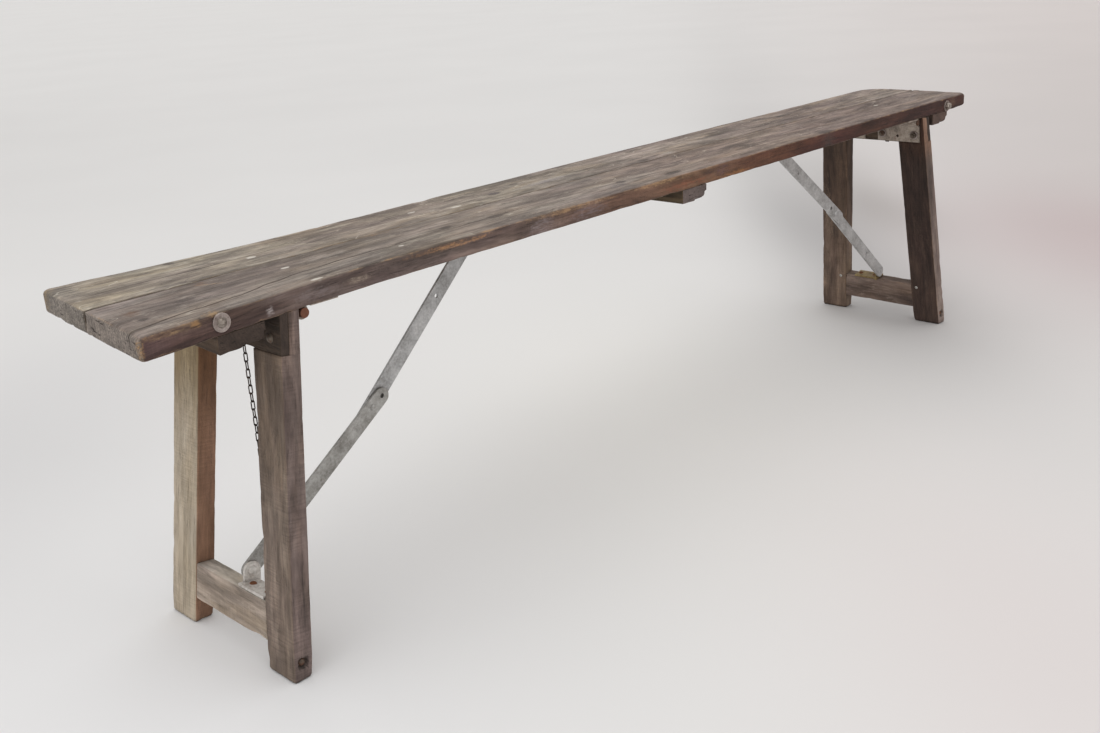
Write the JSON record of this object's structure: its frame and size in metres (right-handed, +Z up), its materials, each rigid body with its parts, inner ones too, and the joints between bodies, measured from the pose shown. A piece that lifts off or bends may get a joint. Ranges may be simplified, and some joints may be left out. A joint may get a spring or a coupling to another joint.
{
  "type": "folding trestle bench",
  "caption": "Long wooden trestle bench: a two-plank seat on two splayed leg frames that fold flat under it on steel rod hinges, held open by jointed flat stays.",
  "frame": {"origin": "on the floor under the middle of the seat", "axes": "+X along the seat, from the near end to the far end; +Y from the front edge to the back edge; +Z up"},
  "size_m": [2, 0.2976, 0.5],
  "materials": {
    "seat_plank_front": "weathered, worn",
    "seat_plank_back": "weathered, worn",
    "near_cleat": "weathered, worn",
    "mid_cleat": "weathered, worn",
    "far_cleat": "weathered, worn",
    "cleat_screws": "rusty",
    "tie_bolts": "dull, tarnished",
    "tie_bolt_washers": "dull, tarnished",
    "tie_bolt_nuts": "dull, tarnished",
    "near_seat_hinge_leaves": "dull, tarnished",
    "far_seat_hinge_leaves": "dull, tarnished",
    "seat_leaf_screws": "rusty",
    "near_hinge_rod": "rusty",
    "far_hinge_rod": "rusty",
    "near_seat_bracket": "dull galvanised",
    "far_seat_bracket": "dull galvanised",
    "seat_bracket_screws": "rusty",
    "seat_pivot_rivets": "dull, tarnished",
    "chain_staple": "dull, tarnished",
    "near_front_post": "weathered, worn",
    "near_back_post": "weathered, worn",
    "near_top_rail": "weathered, worn",
    "near_bottom_rail": "weathered, worn",
    "near_leg_hinge_leaves": "dull, tarnished",
    "near_hinge_bolts": "dull, tarnished",
    "near_hinge_washers": "dull, tarnished",
    "near_hinge_nuts": "dull, tarnished",
    "near_rail_bracket": "dull galvanised",
    "near_rail_bracket_screws": "rusty",
    "near_rail_pivot_rivet": "dull, tarnished",
    "near_foot_bolts": "dull, tarnished",
    "near_tenon_screws": "rusty",
    "far_front_post": "weathered, worn",
    "far_back_post": "weathered, worn",
    "far_top_rail": "weathered, worn",
    "far_bottom_rail": "weathered, worn",
    "far_leg_hinge_leaves": "dull, tarnished",
    "far_hinge_bolts": "dull, tarnished",
    "far_hinge_washers": "dull, tarnished",
    "far_hinge_nuts": "dull, tarnished",
    "far_rail_bracket": "dull galvanised",
    "far_rail_bracket_screws": "rusty",
    "far_rail_pivot_rivet": "dull, tarnished",
    "far_foot_bolts": "dull, tarnished",
    "far_tenon_screws": "rusty",
    "far_rail_staple": "dull, tarnished",
    "near_upper_stay": "dull galvanised",
    "near_upper_elbow_rivet": "dull, tarnished",
    "near_lower_stay": "dull galvanised",
    "near_lower_elbow_rivet": "dull, tarnished",
    "far_upper_stay": "dull galvanised",
    "far_upper_elbow_rivet": "dull, tarnished",
    "far_lower_stay": "dull galvanised",
    "far_lower_elbow_rivet": "dull, tarnished",
    "chain_upper_links": "dull, tarnished",
    "chain_lower_links": "dull, tarnished",
    "lock_pin": "dull, tarnished"
  },
  "bodies": {
    "seat": {"seat_plank_front": "seat_plank_front", "seat_plank_back": "seat_plank_back", "near_cleat": "near_cleat", "mid_cleat": "mid_cleat", "far_cleat": "far_cleat", "cleat_screws": "cleat_screws", "tie_bolts": "tie_bolts", "tie_bolt_washers": "tie_bolt_washers", "tie_bolt_nuts": "tie_bolt_nuts", "near_seat_hinge_leaves": "near_seat_hinge_leaves", "far_seat_hinge_leaves": "far_seat_hinge_leaves", "seat_leaf_screws": "seat_leaf_screws", "near_hinge_rod": "near_hinge_rod", "far_hinge_rod": "far_hinge_rod", "near_seat_bracket": "near_seat_bracket", "far_seat_bracket": "far_seat_bracket", "seat_bracket_screws": "seat_bracket_screws", "seat_pivot_rivets": "seat_pivot_rivets", "chain_staple": "chain_staple"},
    "near_leg": {"near_front_post": "near_front_post", "near_back_post": "near_back_post", "near_top_rail": "near_top_rail", "near_bottom_rail": "near_bottom_rail", "near_leg_hinge_leaves": "near_leg_hinge_leaves", "near_hinge_bolts": "near_hinge_bolts", "near_hinge_washers": "near_hinge_washers", "near_hinge_nuts": "near_hinge_nuts", "near_rail_bracket": "near_rail_bracket", "near_rail_bracket_screws": "near_rail_bracket_screws", "near_rail_pivot_rivet": "near_rail_pivot_rivet", "near_foot_bolts": "near_foot_bolts", "near_tenon_screws": "near_tenon_screws"},
    "near_upper_stay": {"near_upper_stay": "near_upper_stay", "near_upper_elbow_rivet": "near_upper_elbow_rivet"},
    "near_lower_stay": {"near_lower_stay": "near_lower_stay", "near_lower_elbow_rivet": "near_lower_elbow_rivet"},
    "far_leg": {"far_front_post": "far_front_post", "far_back_post": "far_back_post", "far_top_rail": "far_top_rail", "far_bottom_rail": "far_bottom_rail", "far_leg_hinge_leaves": "far_leg_hinge_leaves", "far_hinge_bolts": "far_hinge_bolts", "far_hinge_washers": "far_hinge_washers", "far_hinge_nuts": "far_hinge_nuts", "far_rail_bracket": "far_rail_bracket", "far_rail_bracket_screws": "far_rail_bracket_screws", "far_rail_pivot_rivet": "far_rail_pivot_rivet", "far_foot_bolts": "far_foot_bolts", "far_tenon_screws": "far_tenon_screws", "far_rail_staple": "far_rail_staple"},
    "far_upper_stay": {"far_upper_stay": "far_upper_stay", "far_upper_elbow_rivet": "far_upper_elbow_rivet"},
    "far_lower_stay": {"far_lower_stay": "far_lower_stay", "far_lower_elbow_rivet": "far_lower_elbow_rivet"},
    "chain_upper": {"chain_upper_links": "chain_upper_links"},
    "chain_lower": {"chain_lower_links": "chain_lower_links", "lock_pin": "lock_pin"}
  },
  "joints": [
    {"name": "near_leg_fold", "type": "hinge", "parent": "seat", "child": "near_leg", "pos_m": [-0.79, 0, 0.4635], "axis": [0, -1, 0], "range_deg": [0, 98.5]},
    {"name": "near_upper_stay_turn", "type": "hinge", "parent": "seat", "child": "near_upper_stay", "pos_m": [-0.423, -0.014, 0.4545], "axis": [0, 1, 0], "range_deg": [0, 31.76]},
    {"name": "near_lower_stay_turn", "type": "hinge", "parent": "near_leg", "child": "near_lower_stay", "pos_m": [-0.85963, -0.014, 0.10586], "axis": [0, -1, 0], "range_deg": [0, 57.39]},
    {"name": "far_leg_fold", "type": "hinge", "parent": "seat", "child": "far_leg", "pos_m": [0.79, 0, 0.4635], "axis": [0, 1, 0], "range_deg": [0, 98.5]},
    {"name": "far_upper_stay_turn", "type": "hinge", "parent": "seat", "child": "far_upper_stay", "pos_m": [0.4213, -0.004, 0.4545], "axis": [0, -1, 0], "range_deg": [0, 28.76]},
    {"name": "far_lower_stay_turn", "type": "hinge", "parent": "far_leg", "child": "far_lower_stay", "pos_m": [0.85963, -0.004, 0.10586], "axis": [0, 1, 0], "range_deg": [0, 48.55]},
    {"name": "chain_swing", "type": "hinge", "parent": "seat", "child": "chain_upper", "pos_m": [-0.841, -0.054, 0.466], "axis": [1, 0, 0], "range_deg": [-4, 20]},
    {"name": "chain_bend", "type": "hinge", "parent": "chain_upper", "child": "chain_lower", "pos_m": [-0.841, -0.054, 0.39135], "axis": [0, 1, 0], "range_deg": [-15, 60]}
  ],
  "couplings": [
    {"joint": "near_upper_stay_turn", "follows": "near_leg_fold", "ratio": 0.3204},
    {"joint": "near_lower_stay_turn", "follows": "near_leg_fold", "ratio": 0.58064},
    {"joint": "far_upper_stay_turn", "follows": "far_leg_fold", "ratio": 0.28999},
    {"joint": "far_lower_stay_turn", "follows": "far_leg_fold", "ratio": 0.49086}
  ]
}
